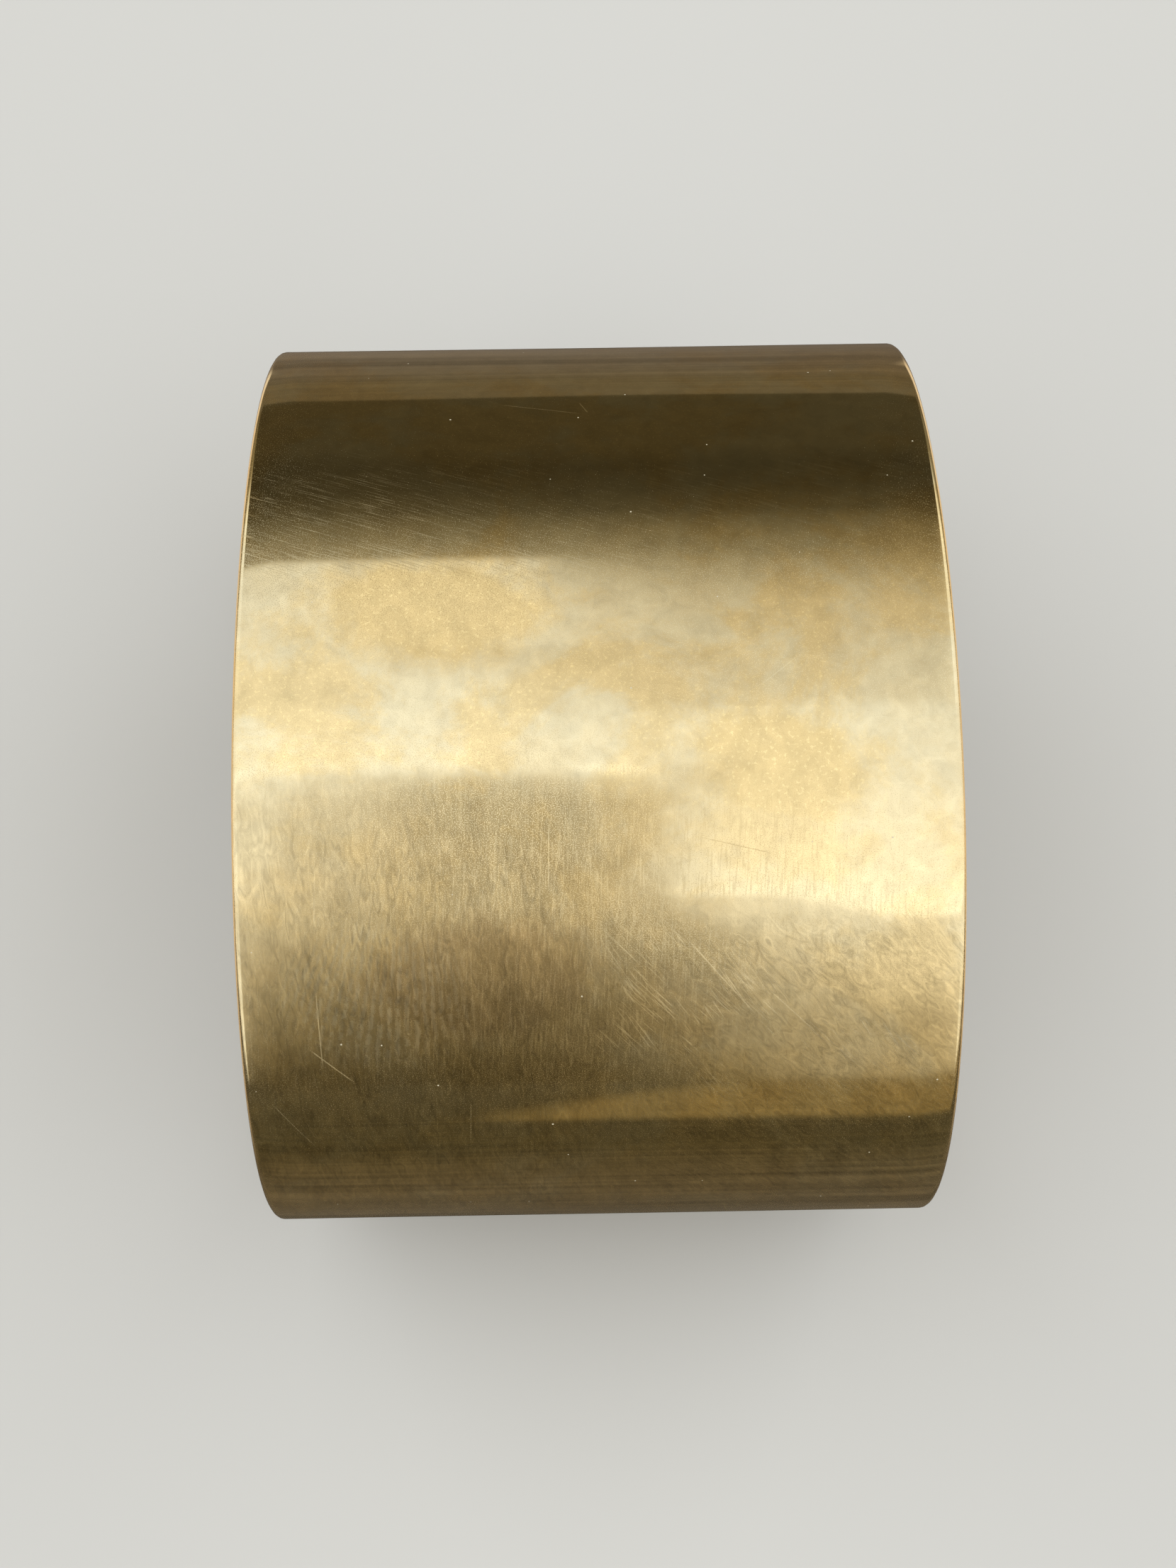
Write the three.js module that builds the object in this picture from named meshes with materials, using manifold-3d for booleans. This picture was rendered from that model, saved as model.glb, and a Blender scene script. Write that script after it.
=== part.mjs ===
// A wide oval cuff bracelet, made the way a metalworker makes one. A flat strip of sheet brass has its
// four corners rounded and its two long edges, the rims, softened. It is then bent round an oval mandrel
// until its ends stand a finger's length apart. It is a single piece of metal with nothing fixed to it.
//
// Units are millimetres and +Z is up. The cuff lies as it does on a table: the band's axis runs along X,
// the long way across its oval runs along Y, and the open gap faces down, so that it stands on its two
// ends. The origin is on the table, under the middle of the cuff.
import * as THREE from "three";
import { mergeVertices } from "three/addons/utils/BufferGeometryUtils.js";
import Module from "manifold-3d";

// Driving dimensions.
const bandWidth = 42; // along X, from rim to rim
const wall = 1.3; // thickness of the sheet
const insideAcross = 58.1; // inside the oval, the long way
const insideHeight = 46.2; // inside the oval, the short way, if it were closed
const gap = 27; // from end to end, at the middle of the wall
const rimRound = 0.4; // radius of the softened edges along both rims
const cornerRadius = 5; // of the strip's four corners

// How finely the curves are cut.
const bendSteps = 112; // along the strip
const rimSteps = 3; // round the softened edge of a rim
const cornerSteps = 10; // round one corner
const arcSamples = 2000; // behind the even spacing of the bend's steps

// A cutter reaches this far past what it cuts, so that none of its faces lies in a face of the band.
const cutterMargin = 2;

// Vertices nearer than this to each other are one vertex.
const sameVertex = 1e-4;

// The middle of the wall follows an ellipse. Its angle is 0 at the top and grows towards +Y.
const halfAcross = (insideAcross + wall) / 2;
const halfHeight = (insideHeight + wall) / 2;
const endAngle = Math.PI - Math.asin(gap / 2 / halfAcross);

// The middle of the wall, seen along X, from the end on the -Y side over the top to the end on the +Y side.
// The plane's own x and y stand for the cuff's Y and Z.
class BendLine extends THREE.Curve {
  getPoint(t, target = new THREE.Vector2()) {
    const angle = THREE.MathUtils.lerp(-endAngle, endAngle, t);
    return target.set(halfAcross * Math.sin(angle), halfHeight * Math.cos(angle));
  }
}

const bendLine = new BendLine();
bendLine.arcLengthDivisions = arcSamples;

// The way out of the oval, square to the wall, at a share u of the strip's length.
function outwardAt(u) {
  const along = bendLine.getTangentAt(u);
  return new THREE.Vector2(-along.y, along.x);
}

// The band's outline seen along X: along its outer face and back along its inner one, square at both ends.
function sideOutline() {
  const outer = [];
  const inner = [];
  for (let i = 0; i <= bendSteps; i++) {
    const u = i / bendSteps;
    const middle = bendLine.getPointAt(u);
    const halfWall = outwardAt(u).multiplyScalar(wall / 2);
    outer.push(middle.clone().add(halfWall));
    inner.push(middle.clone().sub(halfWall));
  }
  return new THREE.Shape([...outer, ...inner.reverse()]);
}

// The bent strip with both rims softened and its corners still sharp. The extrusion's bevel grows the
// outline by rimRound, and bevelOffset takes that off again. The extrusion runs along its own Z, which is
// turned to lie along X, so that the outline's plane becomes YZ.
function bentStrip() {
  const depth = bandWidth - 2 * rimRound;
  const geometry = new THREE.ExtrudeGeometry(sideOutline(), {
    depth,
    steps: 1,
    bevelEnabled: true,
    bevelThickness: rimRound,
    bevelSize: rimRound,
    bevelOffset: -rimRound,
    bevelSegments: rimSteps,
  });
  const turn = new THREE.Matrix4().makeBasis(
    new THREE.Vector3(0, 1, 0),
    new THREE.Vector3(0, 0, 1),
    new THREE.Vector3(1, 0, 0),
  );
  geometry.applyMatrix4(turn);
  geometry.translate(-depth / 2, 0, 0);
  return geometry;
}

// What comes off one corner of the strip: the corner of a square, less a quarter circle. It is drawn flat,
// with the strip's corner at its origin and the strip on its -X and -Y sides, and is thicker than the wall.
function cornerWaste() {
  const r = cornerRadius;
  const waste = new THREE.Shape();
  waste.moveTo(-r, 0);
  waste.absarc(-r, -r, r, Math.PI / 2, 0, true);
  waste.lineTo(cutterMargin, -r);
  waste.lineTo(cutterMargin, cutterMargin);
  waste.lineTo(-r, cutterMargin);
  waste.closePath();
  const depth = wall + 2 * cutterMargin;
  const geometry = new THREE.ExtrudeGeometry(waste, {
    depth,
    bevelEnabled: false,
    curveSegments: cornerSteps,
  });
  geometry.translate(0, 0, -depth / 2);
  return geometry;
}

// The four corner cutters: one at each rim of each end, laid flat on the wall there.
function cornerCutters() {
  const cutters = [];
  for (const [share, forward] of [[0, -1], [1, 1]]) {
    const at = bendLine.getPointAt(share);
    const along = bendLine.getTangentAt(share).multiplyScalar(forward);
    for (const side of [-1, 1]) {
      const toRim = new THREE.Vector3(side, 0, 0);
      const toEnd = new THREE.Vector3(0, along.x, along.y);
      const throughWall = toRim.clone().cross(toEnd);
      const place = new THREE.Matrix4().makeBasis(toRim, toEnd, throughWall);
      place.setPosition((side * bandWidth) / 2, at.x, at.y);
      cutters.push(cornerWaste().applyMatrix4(place));
    }
  }
  return cutters;
}

const wasm = await Module();
wasm.setup();

// A closed geometry as a solid that can be cut.
function toSolid(geometry) {
  const bare = new THREE.BufferGeometry();
  bare.setAttribute("position", geometry.getAttribute("position"));
  const merged = mergeVertices(bare, sameVertex);
  return new wasm.Manifold(
    new wasm.Mesh({
      numProp: 3,
      vertProperties: merged.getAttribute("position").array,
      triVerts: new Uint32Array(merged.index.array),
    }),
  );
}

// A cut solid as a geometry again.
function toGeometry(solid) {
  const mesh = solid.getMesh();
  const geometry = new THREE.BufferGeometry();
  geometry.setAttribute("position", new THREE.BufferAttribute(mesh.vertProperties, 3));
  geometry.setIndex(new THREE.BufferAttribute(mesh.triVerts, 1));
  geometry.computeVertexNormals();
  return geometry;
}

let cutBand = toSolid(bentStrip());
for (const cutter of cornerCutters()) {
  cutBand = cutBand.subtract(toSolid(cutter));
}

const satinBrass = new THREE.MeshStandardMaterial({ color: 0xc9ad72, metalness: 1, roughness: 0.28 });

const band = new THREE.Mesh(toGeometry(cutBand), satinBrass);
band.name = "cuff_band";
// The lowest line of the band is the outer edge of its two ends, and that line stands on the table.
band.geometry.computeBoundingBox();
band.position.z = -band.geometry.boundingBox.min.z;

const cuff = new THREE.Group();
cuff.add(band);

export default cuff;
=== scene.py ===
# %% [markdown]
# # A wide brass cuff
# A cuff is the simplest bracelet there is. One strip of sheet brass is cut out, its corners are rounded,
# its edges are softened with a file, and it is bent round an oval mandrel until its ends nearly meet. The
# model is made in that same order. The fixed frame comes first: it holds the cuff's real size and place.

# %% Load the frame
import math
import random
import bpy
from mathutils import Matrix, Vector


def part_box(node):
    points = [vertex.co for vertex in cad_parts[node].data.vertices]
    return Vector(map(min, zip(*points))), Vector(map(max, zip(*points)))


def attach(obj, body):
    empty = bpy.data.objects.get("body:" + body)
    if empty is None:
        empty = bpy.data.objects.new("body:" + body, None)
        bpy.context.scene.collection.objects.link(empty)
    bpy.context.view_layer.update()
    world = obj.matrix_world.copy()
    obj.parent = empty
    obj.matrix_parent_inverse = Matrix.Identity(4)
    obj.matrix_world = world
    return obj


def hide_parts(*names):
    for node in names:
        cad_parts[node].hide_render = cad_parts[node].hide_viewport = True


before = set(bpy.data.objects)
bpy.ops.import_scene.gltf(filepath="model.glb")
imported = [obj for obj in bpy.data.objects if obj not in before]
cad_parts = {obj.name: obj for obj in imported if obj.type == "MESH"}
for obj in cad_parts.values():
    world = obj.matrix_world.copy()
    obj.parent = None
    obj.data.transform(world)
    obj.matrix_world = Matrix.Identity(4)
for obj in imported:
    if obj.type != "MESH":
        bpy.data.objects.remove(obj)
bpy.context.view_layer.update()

import types

import bmesh
import bpy
import numpy as np
from mathutils import Vector

low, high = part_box("cuff_band")
print("the cuff is", [round(1000 * side, 1) for side in high - low], "mm over all")

# %% [markdown]
# ## Sizes
# The frame gives the band's width, how far the oval reaches across, and where its top is. Four sizes
# can't be read from a box, so they are written here: the thickness of the sheet, how high the oval would
# be inside if it were closed, the opening between the ends, and the round of the strip's corners.

# %% Sizes in metres
MM = 0.001
WALL = 1.3 * MM
INSIDE_HEIGHT = 46.2 * MM
GAP = 27 * MM
CORNER = 5 * MM
RIM_ROUND = 0.4 * MM

band_width = high.x - low.x
half_across = (high.y - low.y - WALL) / 2
half_height = (INSIDE_HEIGHT + WALL) / 2
oval_centre = high.z - WALL / 2 - half_height

# The middle of the sheet follows an ellipse, with its angle counted from the top towards +Y.
BEND_STEPS = 4000
end_angle = math.pi - math.asin(GAP / 2 / half_across)
bend_angles = np.linspace(-end_angle, end_angle, BEND_STEPS + 1)
line_y = half_across * np.sin(bend_angles)
line_z = half_height * np.cos(bend_angles)
line_length = np.concatenate([[0], np.cumsum(np.hypot(np.diff(line_y), np.diff(line_z)))])
strip_length = float(line_length[-1])
print("the flat strip is", round(strip_length / MM, 1), "by", round(band_width / MM, 1), "mm")

# %% [markdown]
# ## Camera
# The cuff lies on its two ends and is looked at from the front and well above, at arm's length, with the
# band's axis running across the picture. A lens a little longer than normal keeps the near side in shape.

# %% Camera
EYE = Vector((-1.45, -61.32, 133.16)) * MM  # counted from the middle of the oval

camera = bpy.data.objects.new("camera", bpy.data.cameras.new("camera"))
bpy.context.scene.collection.objects.link(camera)
bpy.context.scene.camera = camera
camera.data.lens = 48.8
camera.data.sensor_width = 36
camera.data.clip_start = 0.01
camera.location = EYE + Vector((0, 0, oval_centre))
camera.rotation_euler = (math.radians(24.32), math.radians(0.01), math.radians(-1.01))
print("the camera stands", round(EYE.length, 3), "m away")

# %% [markdown]
# ## The flat strip
# It could be drawn bent from the start, but then every corner would have to be worked out on a curved
# sheet. Flat, each step is one operator. A one-face grid is scaled to the strip's size, and a vertex bevel
# rounds its corners. An inset draws a narrow border just inside the outline. That border will keep the
# shading of the soft rim from creeping over the flat of the band.

# %% The strip's outline
BORDER = 0.3 * MM  # past the rim's round
CORNER_STEPS = 14


def flat_strip():
    bm = bmesh.new()
    bmesh.ops.create_grid(bm, x_segments=1, y_segments=1, size=0.5)
    bmesh.ops.scale(bm, vec=(band_width, strip_length, 1), verts=bm.verts)
    bmesh.ops.bevel(bm, geom=bm.verts[:], offset=CORNER, offset_type="OFFSET", segments=CORNER_STEPS,
                    profile=0.5, affect="VERTICES", material=-1)
    bmesh.ops.inset_region(bm, faces=bm.faces[:], thickness=RIM_ROUND + BORDER, use_even_offset=True)
    print("the outline has", len(bm.verts), "vertices, its border's among them")
    return bm


# %% [markdown]
# ## Thickness and soft rims
# Solidify gives the sheet its gauge. What is left square is the whole outline, on both faces, and a
# four-step edge bevel files it round. This comes before the cuts for the bend, because a bevel that runs
# into cuts at a slant folds over itself.

# %% Thickness and rims
SQUARE = math.radians(60)  # an edge sharper than this is still square
RIM_STEPS = 4


def thicken(bm):
    bmesh.ops.solidify(bm, geom=bm.faces[:], thickness=WALL)
    heights = [v.co.z for v in bm.verts]
    bmesh.ops.translate(bm, verts=bm.verts, vec=(0, 0, -(max(heights) + min(heights)) / 2))
    square = [e for e in bm.edges if e.calc_face_angle(0) > SQUARE]
    bmesh.ops.bevel(bm, geom=square, offset=RIM_ROUND, offset_type="OFFSET", segments=RIM_STEPS,
                    profile=0.5, affect="EDGES", material=-1)
    bmesh.ops.recalc_face_normals(bm, faces=bm.faces[:])
    print("the thick strip has", len(bm.verts), "vertices and", len(bm.faces), "faces")


# %% [markdown]
# ## Cuts for the bend
# A sheet only bends where it has vertices. Straight cuts across it, a little over half a millimetre apart,
# let it follow the oval so closely that its mirror image of the room stays smooth. A few cuts along it let
# the sheet have the very slight unevenness of work done by hand.

# %% Cut the strip
CROSS_STEP = 0.6 * MM
LONG_STEP = 2.2 * MM
TOO_NEAR = 0.02 * MM  # a cut this close to a vertex goes through it


def cut_at(bm, axis, places):
    normal = Vector((0, 0, 0))
    normal[axis] = 1
    for place in places:
        everything = bm.verts[:] + bm.edges[:] + bm.faces[:]
        bmesh.ops.bisect_plane(bm, geom=everything, dist=TOO_NEAR, plane_co=normal * place, plane_no=normal)


def even_places(span, step):
    count = round(span / step)
    return [span * (i / count - 0.5) for i in range(1, count)]


# %% [markdown]
# ## A map of the strip
# Scratches, hairlines and fingerprints follow the metal, not the room. While the strip is still flat, its
# own length and width are written down as a UV map, in metres, so that a pattern drawn on it later bends
# with it. The rims are laid out beside the outer face, as if folded flat. The inner face gets its own part
# of the map, so that the two faces aren't scratched alike.

# %% Map the flat strip
INNER_SHIFT = 0.1


def fold_out(place):
    """How far, and which way, a point of the rim moves when the rim is folded flat."""
    half_width = band_width / 2 - CORNER
    half_length = strip_length / 2 - CORNER
    x = max(-half_width, min(half_width, place.x))
    y = max(-half_length, min(half_length, place.y))
    return (place.xy - Vector((x, y))).normalized() * (WALL / 2 - place.z)


def map_strip(bm):
    bm.normal_update()
    layer = bm.loops.layers.uv.new("strip")
    for face in bm.faces:
        inside = face.normal.z < -0.5  # the inner face is the one that looks down
        for loop in face.loops:
            place = loop.vert.co
            shift = Vector((INNER_SHIFT, 0)) if inside else fold_out(place)
            loop[layer].uv = (place.y + shift.y, place.x + shift.x)


# %% [markdown]
# ## The bend
# Each vertex moves from its place along the flat strip to the same place along the oval, and keeps its
# distance from the middle of the sheet. So the sheet is equally thick everywhere, as real sheet is.

# %% Bend it round the oval
WAVE = 0.012 * MM


def unevenness(along, across):
    """A gentle swell, about 20 mm from crest to crest along the strip and wider across it."""
    return WAVE * math.sin(along * 310 + 1.3) * math.sin(across * 170 + along * 60)


def bend(bm):
    for v in bm.verts:
        along, across, off = v.co.y, v.co.x, v.co.z
        angle = float(np.interp(along + strip_length / 2, line_length, bend_angles))
        outward = Vector((0, math.sin(angle) / half_across, math.cos(angle) / half_height)).normalized()
        line = Vector((across, half_across * math.sin(angle), half_height * math.cos(angle) + oval_centre))
        v.co = line + outward * (off + unevenness(along, across))


def make_cuff():
    bm = flat_strip()
    thicken(bm)
    cut_at(bm, 1, even_places(strip_length, CROSS_STEP))
    cut_at(bm, 0, even_places(band_width, LONG_STEP))
    map_strip(bm)
    bend(bm)
    print("the cuff has", len(bm.faces), "faces")
    mesh = bpy.data.meshes.new("cuff")
    bm.to_mesh(mesh)
    bm.free()
    mesh.shade_smooth()
    cuff = bpy.data.objects.new("cuff", mesh)
    bpy.context.scene.collection.objects.link(cuff)
    return cuff


cuff = make_cuff()
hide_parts("cuff_band")
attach(cuff, "root")

# %% [markdown]
# ## Node helpers
# A material is a net of small nodes. Each helper adds a node, or a short row of them, and returns the
# socket that the next one reads. So a finish reads as a few short sums.

# %% Node helpers
class Net:
    def __init__(self, tree):
        self.tree = tree

    def node(self, kind, inputs=None, **settings):
        made = self.tree.nodes.new(kind)
        for name, value in settings.items():
            setattr(made, name, value)
        for key, value in (inputs or {}).items():
            self.set(made.inputs[key], value)
        return made

    def set(self, socket, value):
        if isinstance(value, bpy.types.NodeSocket):
            self.tree.links.new(value, socket)
        else:
            socket.default_value = value

    def math(self, operation, a, b=0.0):
        return self.node("ShaderNodeMath", {0: a, 1: b}, operation=operation).outputs[0]

    def product(self, first, *rest):
        for factor in rest:
            first = self.math("MULTIPLY", first, factor)
        return first

    def most(self, first, *rest):
        for value in rest:
            first = self.math("MAXIMUM", first, value)
        return first

    def line(self, value, times, plus):
        return self.node("ShaderNodeMath", {0: value, 1: times, 2: plus}, operation="MULTIPLY_ADD").outputs[0]

    def smooth(self, value, start, end):
        """0 below start, 1 past end, and a smooth step between them."""
        return self.node("ShaderNodeMapRange", {"Value": value, "From Min": start, "From Max": end},
                         interpolation_type="SMOOTHSTEP").outputs["Result"]

    def mix(self, share, a, b):
        """a and b are numbers or sockets, and share is how much of b."""
        return self.node("ShaderNodeMix", {"Factor": share, 2: a, 3: b}).outputs[0]

    def tint(self, share, a, b):
        """a and b are colours, and share is how much of b."""
        return self.node("ShaderNodeMix", {0: share, 6: a, 7: b}, data_type="RGBA").outputs[2]

    def dim(self, colour, scale):
        """The colour times one number."""
        return self.node("ShaderNodeVectorMath", {0: colour, "Scale": scale}, operation="SCALE").outputs[0]

    def place(self, vector, turn, along, across, shift=(0, 0, 0)):
        """The vector turned by some degrees, then counted in steps of along and across."""
        turned = self.node("ShaderNodeMapping", {
            "Vector": vector, "Location": shift, "Rotation": (0, 0, math.radians(turn)),
            "Scale": (along, across, 1)}, vector_type="TEXTURE")
        return turned.outputs[0]

    def noise(self, vector, scale=1.0, detail=2.0, rough=0.5, flat=False, bend=0.0):
        return self.node("ShaderNodeTexNoise", {
            "Vector": vector, "Scale": scale, "Detail": detail, "Roughness": rough,
            "Distortion": bend}, noise_dimensions="2D" if flat else "3D").outputs["Fac"]


# %% [markdown]
# ## The finish
# Raw brass, polished by hand, handled, and never lacquered. What the eye reads as satin is a mirror with
# haze over it: one sharp reflection, and over it the light that countless tiny hairlines throw aside. A
# single roughness can't do both. So the roughness jumps between mirror and matt in specks too small to
# see, and the share of matt specks is the haze. The clearer marks are drawn one by one. Each is a number
# from 0, where there is no mark, to 1, and it is made from one of these three shapes.

# %% Hairlines, spots and scratches
CREST = 0.12  # how far above its threshold a crest of noise is a full hairline


def hairlines(net, strip, turn, along, across, shift, keep):
    """Thin streaks in one direction: noise stretched along it, of which only the crests are kept."""
    streaked = net.place(strip, turn, along, across, shift)
    streaks = net.noise(streaked, detail=2, rough=0.55, flat=True, bend=0.3)
    return net.smooth(streaks, keep, keep + CREST)


def soft_spot(net, strip, at, size, turn=0, ragged=0.0):
    """1 inside an oval spot on the strip, falling softly to 0 outside it."""
    local = net.place(strip, turn, *size, (*at, 0))
    distance = net.node("ShaderNodeVectorMath", {0: local}, operation="LENGTH").outputs["Value"]
    if ragged:
        distance = net.math("ADD", distance, net.product(net.noise(strip, 420, 5, 0.7), ragged))
    return net.smooth(distance, 1.0 + ragged / 2, 0.5 + ragged / 2)


def scratch(net, strip, at, turn, length, width):
    """One straight scratch, whose ends fade."""
    local = net.place(strip, turn, length / 2, width / 2, (*at, 0))
    flat = net.node("ShaderNodeVectorMath", {0: local}, operation="ABSOLUTE").outputs[0]
    part = net.node("ShaderNodeSeparateXYZ", {0: flat})
    return net.product(net.smooth(part.outputs[0], 1.0, 0.6), net.smooth(part.outputs[1], 1.0, 0.3))


# %% [markdown]
# ## Marks of handling
# A finger leaves oil in ridges half a millimetre apart. The ridges here fan out a little, as they do
# towards a fingertip, and a soft oval fades them out where the finger stopped pressing. There are three
# prints: one low on the front, one far back, and one inside.

# %% Fingerprints
RIDGE = 0.48  # mm, and a print is drawn in mm too
FAN, WANDER = 0.06, 5.0
PRINT_SIZE = (5.4 * MM, 7.0 * MM)
PRINTS = [((-23.2 * MM, -13.0 * MM), 8), ((38 * MM, 9 * MM), 35), ((12 * MM, INNER_SHIFT - 5 * MM), 15)]


def fingerprint(net, strip, at, turn):
    local = net.place(strip, turn, MM, MM, (*at, 0))
    part = net.node("ShaderNodeSeparateXYZ", {0: local})
    fan = net.math("DIVIDE", part.outputs[1], net.line(part.outputs[0], -FAN, 1.0))
    wander = net.product(net.noise(local, 0.45, 2, 0.5, flat=True), WANDER)
    phase = net.math("ADD", net.product(fan, 2 * math.pi / RIDGE), wander)
    ridges = net.line(net.math("SINE", phase), 0.5, 0.5)
    broken = net.smooth(net.noise(local, 1.6, 3, 0.6, flat=True), 0.30, 0.54)
    press = soft_spot(net, strip, at, PRINT_SIZE, turn, ragged=0.5)
    return net.product(ridges, broken, press)


# %% [markdown]
# Scratches come in two kinds. A few clear ones are put where such a cuff has them: short strokes round the
# hoop, some slanting ones low on the front, and a hooked one near the top of the back. The rest fall at
# random, from a seeded generator, so that they fall the same way each time.

# %% Scratches
CLEAR_SCRATCHES = [  # along and across the strip in mm, turn in degrees, length in mm
    (15.4, -3.1, -77, 6.2), (15.5, -0.4, -23, 1.6), (-31.9, -18.3, -33, 5.0), (-12.8, -19.0, 0, 3.4),
    (-17.5, -16.3, 2, 3.6), (-15.4, -2.9, 1, 4.0), (-22.5, 7.0, -41, 6.6), (-24.5, 11.0, -46, 4.4),
    (-21.5, 14.0, -38, 3.6), (-5.0, 10.5, 52, 3.2)]
CLEAR_WIDTH = 0.10 * MM
RANDOM_SCRATCHES = 12
SEED = 11


def scratches(net, strip):
    chance = random.Random(SEED)
    marks = 0.0
    for along, across, turn, length in CLEAR_SCRATCHES:
        line = scratch(net, strip, (along * MM, across * MM), turn, length * MM, CLEAR_WIDTH)
        marks = net.most(marks, line)
    for number in range(RANDOM_SCRATCHES):
        at = (chance.uniform(-60, 60) * MM, chance.uniform(-19, 19) * MM)
        turn = chance.choice((0, 0, -40, -70)) + chance.uniform(-8, 8)
        line = scratch(net, strip, at, turn, chance.uniform(2, 6) * MM, chance.uniform(0.06, 0.10) * MM)
        marks = net.most(marks, line)
    return marks


# %% [markdown]
# ## Zones of the strip
# A cuff doesn't wear evenly. Its back is wiped clean by sleeves, its front is rubbed by hands, and its foot
# is hardly touched. So the strip is divided into zones that fade into each other. Each is worked out from
# the place along the strip, counted from its middle with the front negative, and the place across it.

# %% Zones
INSIDE_FROM = INNER_SHIFT / 2
RIM_DEPTH = 0.35 * MM
LATER_ON_RIGHT = 4 * MM  # the low part of the front starts this much lower on the right


def find_zones(net, strip, body):
    spot = net.node("ShaderNodeSeparateXYZ", {0: strip})
    along, across = spot.outputs[0], spot.outputs[1]
    from_middle = net.math("ABSOLUTE", net.node("ShaderNodeSeparateXYZ", {0: body}).outputs[0])
    zone = types.SimpleNamespace(along=along, across=across)
    zone.front = net.smooth(along, -7 * MM, -17 * MM)
    zone.foot = net.smooth(along, -26 * MM, -32 * MM)
    zone.right = net.smooth(across, -4 * MM, 8 * MM)
    zone.inside = net.smooth(across, INSIDE_FROM, INSIDE_FROM + MM)
    zone.rim = net.smooth(from_middle, band_width / 2 - RIM_DEPTH, band_width / 2)
    sides = net.smooth(net.math("ABSOLUTE", across), 14.5 * MM, 20 * MM)
    zone.clean = net.product(net.smooth(along, 0, 9 * MM), net.line(sides, -0.4, 1.0))
    zone.level = net.line(zone.right, LATER_ON_RIGHT, along)
    zone.low = net.product(net.smooth(zone.level, -15 * MM, -21 * MM), net.line(zone.foot, -1.0, 1.0))
    zone.below = net.mix(zone.right, zone.front, net.smooth(along, -17 * MM, -21 * MM))
    return zone


# %% [markdown]
# ## Film and bare metal
# Brass that is handled grows a thin pale film. Clouds of it are left where nothing rubs, and bare gold
# shows between them. One smear of film crosses the gold on the left, and a thumb that rests on the front
# has browned one patch. Inside the bare gold, tiny grains are painted a brighter gold: painted glints.

# %% Film and bare gold
def film(net, strip, body):
    clouds = net.smooth(net.noise(body, 115, 7, 0.66, bend=0.3), 0.45, 0.60)
    bare_left = soft_spot(net, strip, (-0.8 * MM, -9.6 * MM), (4.4 * MM, 9.2 * MM), 4, 0.8)
    bare_right = soft_spot(net, strip, (-10.5 * MM, 10.5 * MM), (4.5 * MM, 7 * MM), 20, 0.9)
    smear = soft_spot(net, strip, (-2.2 * MM, -1.4 * MM), (6.5 * MM, 1.1 * MM), 52, 1.1)
    bare = net.product(net.most(net.product(clouds, 0.8), bare_left, bare_right), net.line(smear, -0.6, 1.0))
    grains = net.smooth(net.noise(strip, 4600, 2, 0.6, flat=True), 0.56, 0.74)
    thumbed = soft_spot(net, strip, (-22.3 * MM, -7.0 * MM), (4.6 * MM, 8.5 * MM), -5, 0.9)
    patches = net.smooth(net.noise(body, 260, 6, 0.7), 0.42, 0.62)
    # painted glints: grains in the bare gold are painted a brighter colour, as if catching the light
    painted_glints = net.product(grains, bare)
    return types.SimpleNamespace(bare=bare, painted_glints=painted_glints, thumbed=thumbed, patches=patches)


# %% [markdown]
# ## Rubbing
# Where the metal has been rubbed, its tone varies in short soft strokes. They run round the hoop on the
# left and aslant on the right. On the top the same tone is only mottled. Larger blotches lie under both.

# %% Rubbed texture
def rubbing(net, strip, body, zone):
    """How much lighter or darker the rubbed metal is, about 0."""
    hoop = net.noise(net.place(strip, -5, 1.3 * MM, 0.38 * MM), detail=4, rough=0.6, flat=True, bend=1.2)
    slant = net.noise(net.place(strip, -42, 1.1 * MM, 0.42 * MM), detail=4, rough=0.6, flat=True, bend=1.4)
    mottle = net.noise(body, 750, 4, 0.62, bend=0.6)
    strokes = net.mix(zone.below, mottle, net.mix(zone.right, hoop, slant))
    blotches = net.noise(net.place(strip, -20, 3.2 * MM, 1.7 * MM), detail=4, rough=0.6)
    strokes = net.product(net.math("SUBTRACT", strokes, 0.5), net.mix(zone.below, 0.5, 0.95))
    blotches = net.product(net.math("SUBTRACT", blotches, 0.5), net.mix(zone.below, 0.15, 0.75))
    return net.math("ADD", strokes, blotches)


# %% [markdown]
# ## Hairlines
# Each zone has its own. Short ones run round the hoop on the front, clusters of long ones cross the lower
# right, and a fine shallow set veils the back of the top, densest on the left.

# %% Hairlines of each zone
def zone_marks(net, strip, zone):
    hoop = hairlines(net, strip, 3, 1.6 * MM, 0.13 * MM, (0, 0, 0), 0.52)
    hoop = net.product(hoop, net.mix(zone.low, net.mix(zone.front, 0.1, 0.4), 0.15))
    steep = hairlines(net, strip, -34, 4.0 * MM, 0.10 * MM, (0.5, 0.4, 0), 0.60)
    down = hairlines(net, strip, -45, 4.5 * MM, 0.10 * MM, (0.3, 0.1, 0), 0.59)
    clusters = net.smooth(net.noise(strip, 240, 3, 0.6, flat=True), 0.46, 0.60)
    lower_right = net.mix(net.product(zone.below, zone.right), 0.05, 1.0)
    crossing = net.product(net.most(down, steep), clusters, lower_right)
    shallow = hairlines(net, strip, -70, 3.2 * MM, 0.07 * MM, (0.7, 0.2, 0), 0.55)
    shallow = net.product(shallow, net.mix(net.smooth(zone.across, -18 * MM, 2 * MM), 0.9, 0.45),
                          net.line(clusters, 0.3, 0.7),
                          net.mix(net.smooth(zone.along, 3 * MM, 0), 1.0, 0.12))
    marks = net.product(net.most(hoop, crossing, shallow),
                        net.mix(net.smooth(zone.along, 8 * MM, 13 * MM), 1.0, 0.12),
                        net.line(zone.foot, -0.7, 1.0))
    return net.most(marks, scratches(net, strip))
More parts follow.
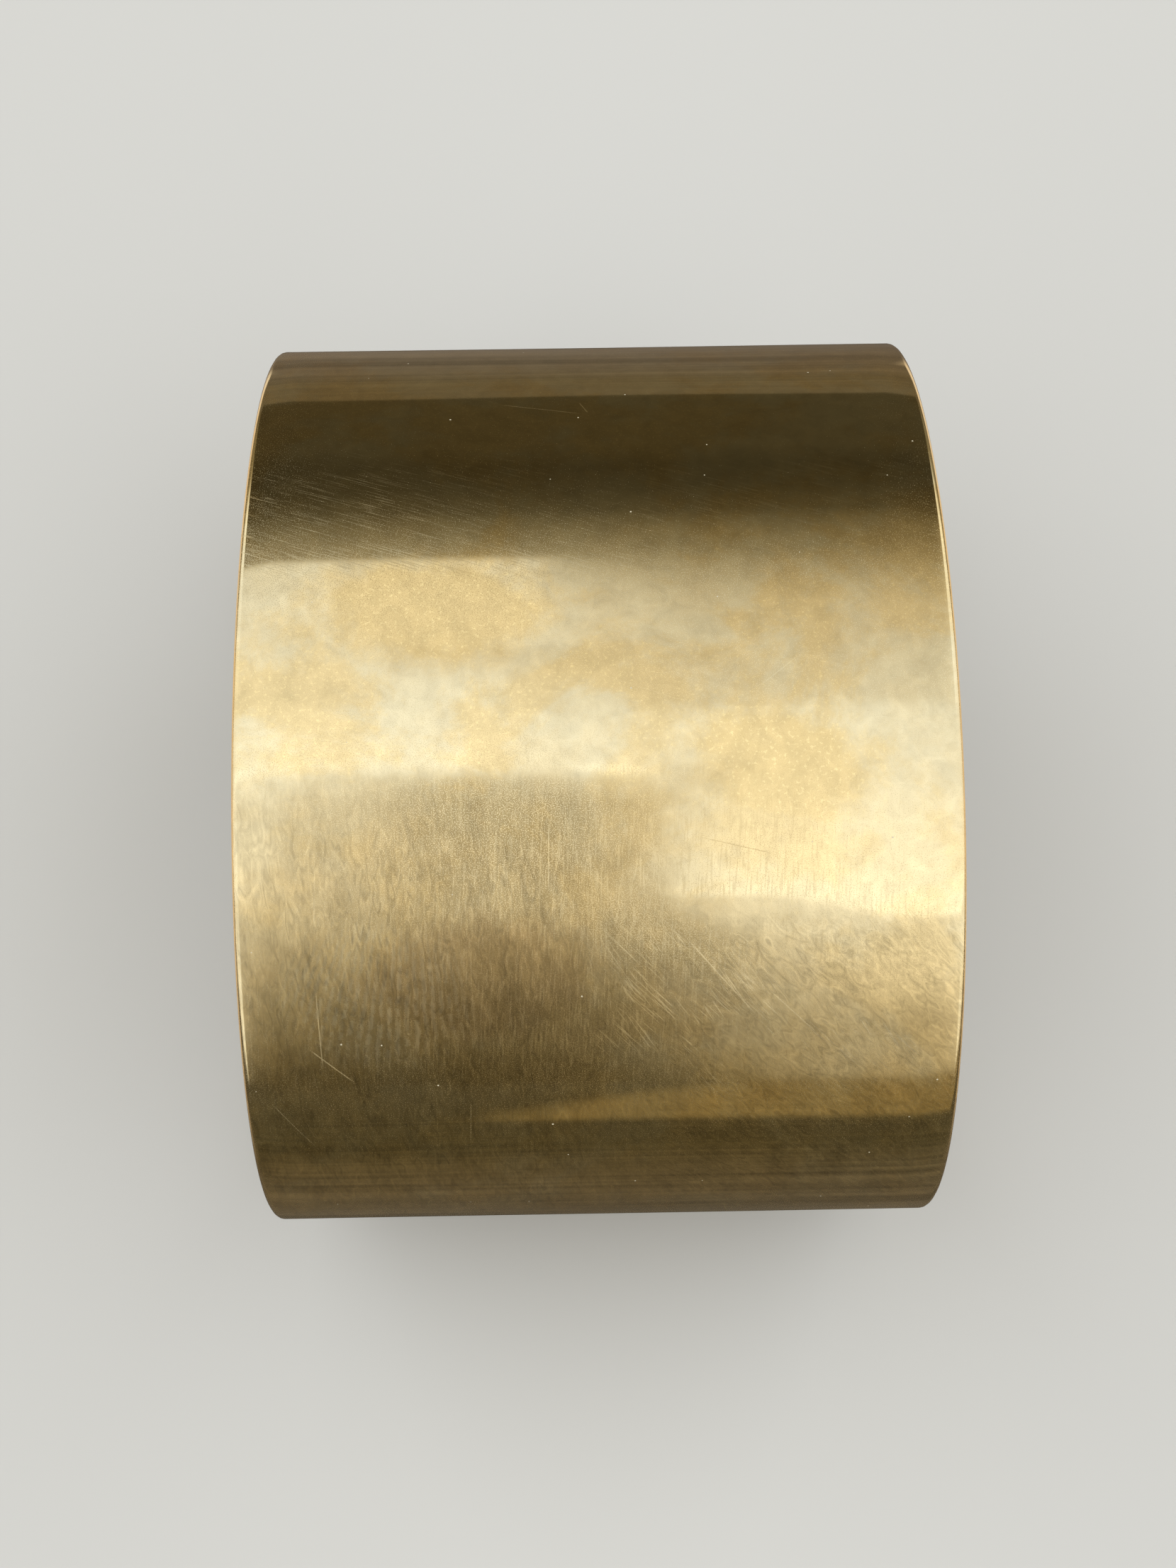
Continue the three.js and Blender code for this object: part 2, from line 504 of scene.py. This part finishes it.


# %% [markdown]
# ## Colour
# Pale cream is the film, and gold is the bare metal. The front is browner, the inner face is darker,
# and the rims are a little coppery.

# %% Colours of the brass
CREAM = (0.67, 0.59, 0.385, 1)
GOLD = (0.65, 0.48, 0.205, 1)
# painted glints: a brighter gold that stands in for sparkle
PAINTED_GLINT = (0.86, 0.70, 0.36, 1)
BROWNISH = (0.61, 0.48, 0.255, 1)
BROWN = (0.50, 0.375, 0.20, 1)
INSIDE_DARKER = (0.42, 0.33, 0.165, 1)
COPPER = (0.66, 0.45, 0.21, 1)
DUST = (0.60, 0.55, 0.42, 1)


def brass_colour(net, zone, metal, tone, prints):
    colour = net.tint(net.product(metal.bare, 0.75), CREAM, GOLD)
    colour = net.tint(net.product(metal.painted_glints, 0.7), colour, PAINTED_GLINT)
    # browner towards the front, and in random patches
    brownish = net.math("ADD", net.product(metal.patches, 0.25), net.product(zone.front, 0.5))
    colour = net.tint(brownish, colour, BROWNISH)
    colour = net.tint(net.product(metal.thumbed, 0.65), colour, BROWN)
    tone = net.math("SUBTRACT", tone, net.product(prints, 0.30))
    colour = net.dim(colour, net.math("ADD", tone, 1.0))
    # the inner face is darker
    colour = net.tint(net.product(zone.inside, 0.7), colour, INSIDE_DARKER)
    return net.tint(net.product(zone.rim, 0.5), colour, COPPER)


# %% [markdown]
# ## Dust
# The strip is divided into random cells. One in eight holds a speck of dust, a twentieth to a tenth of a
# millimetre across.

# %% Dust
DUST_CELL = 2.9 * MM
DUSTY_ABOVE = 0.88


def dust_specks(net, strip):
    cells = net.node("ShaderNodeTexVoronoi", {"Vector": strip, "Scale": 1 / DUST_CELL},
                     voronoi_dimensions="2D")
    lot = net.node("ShaderNodeSeparateXYZ", {0: cells.outputs["Color"]}).outputs
    size = net.line(lot[1], 0.010, 0.008)
    speck = net.smooth(net.math("SUBTRACT", cells.outputs["Distance"], size), 0.006, -0.004)
    return net.product(speck, net.math("GREATER_THAN", lot[0], DUSTY_ABOVE))


# %% [markdown]
# ## Haze
# The specks are a noise with a grain of a sixteenth of a millimetre. A little is added to it or taken from
# it, and whatever then rises past a threshold is matt. Most is taken where the metal is clean. Low on the
# front the haze is even, so two roughnesses that are nearly the same are enough there. Hairlines, prints,
# the inner face and the rims are rougher.

# %% Haze
SPECKS = 16000  # per metre
MATT_FROM, MATT_TO = 0.555, 0.60
MIRROR, MATT = 0.055, 0.375
LOW_MIRROR, LOW_MATT = 0.17, 0.23
MARK_ROUGH, PRINT_ROUGH, INSIDE_ROUGH, RIM_ROUGH = 0.30, 0.14, 0.12, 0.10


def haze(net, strip, zone, metal, marks, prints):
    added = net.mix(zone.clean, net.line(metal.patches, 0.045, -0.03), -0.2)
    added = net.mix(zone.foot, added, -0.1)
    clear_right = net.line(net.smooth(zone.level, -15 * MM, -17 * MM), -0.05, 0.05)
    added = net.math("SUBTRACT", added, net.product(zone.right, clear_right))
    specks = net.noise(strip, SPECKS, 1, 0.5, flat=True)
    matt = net.smooth(net.math("ADD", specks, added), MATT_FROM, MATT_TO)
    rough = net.mix(zone.low, net.mix(matt, MIRROR, MATT), net.mix(matt, LOW_MIRROR, LOW_MATT))
    for part, extra in ((marks, MARK_ROUGH), (prints, PRINT_ROUGH), (zone.inside, INSIDE_ROUGH),
                        (zone.rim, RIM_ROUGH)):
        rough = net.math("ADD", rough, net.product(part, extra))
    return rough


# %% [markdown]
# ## Satin brass
# The parts come together in one metallic shader. Only dust isn't metal. A very shallow bump gives the
# surface the grain of polished sheet and sinks the hairlines a little.

# %% Satin brass
GRAIN = 3600  # per metre
GRAIN_HEIGHT, MARK_DEPTH = 0.06, 0.08
BUMP_DEPTH, BUMP_STRENGTH = 0.004 * MM, 0.22
DUST_ROUGH = 0.8


def satin_brass():
    material = bpy.data.materials.new("satin_brass")
    material.use_nodes = True
    net = Net(material.node_tree)
    shader = material.node_tree.nodes["Principled BSDF"]
    body = net.node("ShaderNodeTexCoord").outputs["Object"]
    strip = net.node("ShaderNodeUVMap", uv_map="strip").outputs[0]
    zone = find_zones(net, strip, body)
    metal = film(net, strip, body)
    marks = zone_marks(net, strip, zone)
    prints = net.most(*(fingerprint(net, strip, at, turn) for at, turn in PRINTS))
    colour = brass_colour(net, zone, metal, rubbing(net, strip, body, zone), prints)
    rough = haze(net, strip, zone, metal, marks, prints)
    dust = dust_specks(net, strip)
    net.set(shader.inputs["Base Color"], net.tint(dust, colour, DUST))
    net.set(shader.inputs["Metallic"], net.math("SUBTRACT", 1.0, dust))
    net.set(shader.inputs["Roughness"], net.mix(dust, rough, DUST_ROUGH))
    grain = net.noise(strip, GRAIN, 3, 0.7, flat=True)
    height = net.math("SUBTRACT", net.product(grain, GRAIN_HEIGHT), net.product(marks, MARK_DEPTH))
    bump = net.node("ShaderNodeBump", {"Height": height, "Strength": BUMP_STRENGTH, "Distance": BUMP_DEPTH})
    net.set(shader.inputs["Normal"], bump.outputs[0])
    print("the brass takes", len(material.node_tree.nodes), "nodes")
    return material


cuff.data.materials.append(satin_brass())

# %% [markdown]
# ## Light
# Polished metal shows nothing but its surroundings, so the light is half of how it looks. One broad soft
# panel hangs over the cuff, brightest towards the front. Behind and in front of it the studio is dark and
# warm, and that is what draws the dark bands at the top and bottom. The panel has a notch near the middle,
# where the camera stands. All of this is one painted sky, cut into three slices from left to right. A
# slice is a list of pairs. The first number is how many degrees a direction stands above the horizon
# behind the cuff: 90 is straight up, and 180 is the horizon in front. The second is the brightness.

# %% The sky's slices
DARK_SKY = [(0, 0.085), (20, 0.08), (27, 0.06), (34, 0.072), (40, 0.115), (45, 0.24)]
LEFT_SKY = DARK_SKY + [(51.3, 0.40), (52.4, 1.14), (60, 1.24), (72, 1.25), (84, 1.34), (97, 1.64), (100, 1.2),
                       (106, 1.03), (125, 0.98), (135, 0.72), (147, 0.51), (158, 0.30), (170, 0.18),
                       (180, 0.10)]
MIDDLE_SKY = DARK_SKY + [(50, 0.38), (55, 0.76), (60, 1.0), (66, 1.12), (80, 1.18), (90, 1.36), (98, 1.5),
                         (101, 0.92), (106, 0.69), (126, 0.68), (136, 0.45), (144, 0.25), (153, 0.14),
                         (165, 0.10), (180, 0.10)]
RIGHT_SKY = DARK_SKY + [(50, 0.34), (57, 0.60), (64, 0.84), (82, 1.05), (84.5, 1.09), (86.5, 1.30),
                        (100, 1.40), (116, 1.75), (126.4, 1.88), (128, 1.34), (132, 1.28), (137, 1.22),
                        (147, 1.06), (153, 0.88), (160, 0.70), (166, 0.74), (173, 0.62), (180, 0.42)]
BRIGHTEST = 2.0  # a ramp's colours are shares of this


def sky_band(net, angle, stops):
    ramp = net.node("ShaderNodeValToRGB", {"Fac": net.math("DIVIDE", angle, 180.0)})
    points = ramp.color_ramp.elements
    points[0].position, points[1].position = 0, 1
    for degrees, light in stops[1:-1]:
        points.new(degrees / 180)
    for point, (degrees, light) in zip(points, stops):
        point.color = (light / BRIGHTEST,) * 3 + (1,)
    return net.product(ramp.outputs[0], BRIGHTEST)


# %% [markdown]
# ## One sky from three slices
# The slices are joined side by side, where x says how far a direction points to the right. A join stands
# at another place above, beside and below the notch. The panel's front edge hangs a few degrees lower on
# the far right, and a faint seam crosses the panel a little behind its middle. Side walls close the studio
# on the left and the right.

# %% The sky
NOTCH_TOP, NOTCH_FOOT = (96, 99), (129, 140)  # degrees, as is the next
PANEL_DROP = 6
# A join's place and softness, above, beside and below the notch.
LEFT_JOIN = ((-0.012, 0.008), (-0.085, 0.03), (-0.085, 0.04))
RIGHT_JOIN = ((0.02, 0.05), (0.043, 0.003), (0.072, 0.045))
WALL_BRIGHT, WALL_DARK = 1.4, 0.3
WARM, WHITE = (1, 0.80, 0.42, 1), (0.99, 1, 1, 1)
WARM_BELOW, WHITE_ABOVE = 0.05, 1.35  # dim light is warm, and bright light is white
BACKDROP = (0.6, 0.6, 0.58, 1)


def panel_light(net, x, angle):
    lower = net.smooth(angle, *NOTCH_TOP)
    lowest = net.smooth(angle, *NOTCH_FOOT)

    def past(join):
        """0 to the left of a join and 1 to its right."""
        edge, blur = (net.mix(lowest, net.mix(lower, above, beside), below)
                      for above, beside, below in zip(*join))
        return net.smooth(net.math("DIVIDE", net.math("SUBTRACT", x, edge), blur), -1, 1)

    left = sky_band(net, angle, LEFT_SKY)
    middle = sky_band(net, angle, MIDDLE_SKY)
    drop = net.product(net.smooth(x, 0.085, 0.16), net.smooth(angle, 105, 120), PANEL_DROP)
    right = sky_band(net, net.math("SUBTRACT", angle, drop), RIGHT_SKY)
    middle = net.product(middle, net.line(net.product(net.smooth(x, -0.010, 0.03), lower), 0.32, 1.0))
    right = net.product(right, net.line(net.product(net.smooth(x, 0.11, 0.03), lower), -0.20, 1.0))
    light = net.mix(past(LEFT_JOIN), left, middle)
    light = net.mix(past(RIGHT_JOIN), light, right)
    seam = net.product(net.smooth(angle, 70.5, 73), net.smooth(angle, 80, 75),
                       net.smooth(x, -0.10, -0.06), net.smooth(x, 0.03, -0.01))
    far_left = net.product(net.smooth(x, -0.125, -0.15), lower)
    return net.product(light, net.line(seam, -0.12, 1.0), net.line(far_left, 0.2, 1.0))


def studio():
    world = bpy.data.worlds.new("studio")
    bpy.context.scene.world = world
    world.use_nodes = True
    net = Net(world.node_tree)
    background = world.node_tree.nodes["Background"]
    way = net.node("ShaderNodeSeparateXYZ", {0: net.node("ShaderNodeTexCoord").outputs["Generated"]})
    x, y, z = way.outputs
    angle = net.product(net.math("ARCTAN2", z, y), 180 / math.pi)
    light = panel_light(net, x, angle)
    side = net.smooth(net.math("ABSOLUTE", x), 0.30, 0.45)
    walls = net.mix(net.smooth(angle, 15, 35), WALL_DARK, WALL_BRIGHT)
    light = net.mix(side, light, net.most(light, walls))
    span = {"Value": light, "From Min": WARM_BELOW, "From Max": WHITE_ABOVE}
    white = net.node("ShaderNodeMapRange", span).outputs["Result"]
    shown = net.dim(net.tint(white, WARM, WHITE), light)
    seen = net.node("ShaderNodeLightPath").outputs["Is Camera Ray"]
    net.set(background.inputs["Color"], net.tint(seen, shown, BACKDROP))
    print("the sky has", len(LEFT_SKY), len(MIDDLE_SKY), "and", len(RIGHT_SKY), "stops in its slices")


studio()

# %% [markdown]
# ## The floor
# To the eye it is a plain pale sheet. The metal mirrors it too, and a sheet as pale as this would wash out
# the dark lower bands. So in mirrors it is another floor, a painted reflection: dark cards with faint
# streaks, painted shade, lie in front of the cuff and behind it, with one lighter card further off, and
# pale painted cards lie beside it to light the rims.

# %% The floor's cards
PALE = (0.6, 0.6, 0.585, 1)
FRONT_NEAR, FRONT_FAR = (0.14, 0.117, 0.083, 1), (0.085, 0.07, 0.038, 1)
BEHIND_NEAR, BEHIND_FAR = (0.152, 0.122, 0.092, 1), (0.148, 0.115, 0.068, 1)
FURTHER_OFF = (0.26, 0.20, 0.098, 1)
BESIDE = (0.95, 0.80, 0.62, 1)


def mirrored_floor(net, ground):
    place = net.node("ShaderNodeSeparateXYZ", {0: ground})
    x, y = place.outputs[0], place.outputs[1]
    # painted shade: in mirrors, dark cards lie in front of and behind the cuff
    front = net.tint(net.smooth(y, -0.04, -0.09), FRONT_NEAR, FRONT_FAR)
    behind = net.tint(net.smooth(y, 0.08, 0.30), BEHIND_NEAR, BEHIND_FAR)
    back = net.smooth(y, -0.03, 0.03)
    painted_card = net.tint(back, front, behind)
    slanted = net.math("ADD", x, net.product(y, 0.08))
    further = net.product(net.smooth(y, -0.13, -0.16), net.smooth(slanted, -0.032, -0.014))
    painted_card = net.tint(further, painted_card, FURTHER_OFF)
    near_streaks = net.noise(net.place(ground, 0, 0.05, 0.0022), detail=3, rough=0.6, flat=True)
    far_streaks = net.noise(net.place(ground, 0, 0.3, 0.03), detail=3, rough=0.6, flat=True)
    painted_card = net.dim(painted_card, net.line(net.mix(back, near_streaks, far_streaks), 1.5, 0.25))
    # painted light: pale cards beside the cuff, seen only in mirrors, light the rims
    out = net.math("ABSOLUTE", x)
    back_edge = net.smooth(net.line(out, -0.4, y), 0.13, 0.10)
    beside = net.product(net.smooth(out, 0.040, 0.055), back_edge, net.smooth(y, -0.05, -0.02))
    return net.tint(beside, painted_card, BESIDE)


# %% The floor
FLOOR_HALF = 20  # metres, so that its far edge is all but on the horizon


def pale_floor():
    bm = bmesh.new()
    bmesh.ops.create_grid(bm, x_segments=1, y_segments=1, size=FLOOR_HALF)
    mesh = bpy.data.meshes.new("floor")
    bm.to_mesh(mesh)
    bm.free()
    floor = bpy.data.objects.new("floor", mesh)
    bpy.context.scene.collection.objects.link(floor)
    material = bpy.data.materials.new("pale_floor")
    material.use_nodes = True
    net = Net(material.node_tree)
    shader = material.node_tree.nodes["Principled BSDF"]
    shader.inputs["Roughness"].default_value = 0.9
    shader.inputs["Specular IOR Level"].default_value = 0.1
    mirrored = net.node("ShaderNodeLightPath").outputs["Is Glossy Ray"]
    ground = net.node("ShaderNodeTexCoord").outputs["Object"]
    # what the metal mirrors is the painted floor: a painted reflection
    net.set(shader.inputs["Base Color"], net.tint(mirrored, PALE, mirrored_floor(net, ground)))
    floor.data.materials.append(material)
    print("the floor is", 2 * FLOOR_HALF, "m wide")
    return floor


pale_floor()
bpy.context.scene.view_settings.view_transform = "Standard"
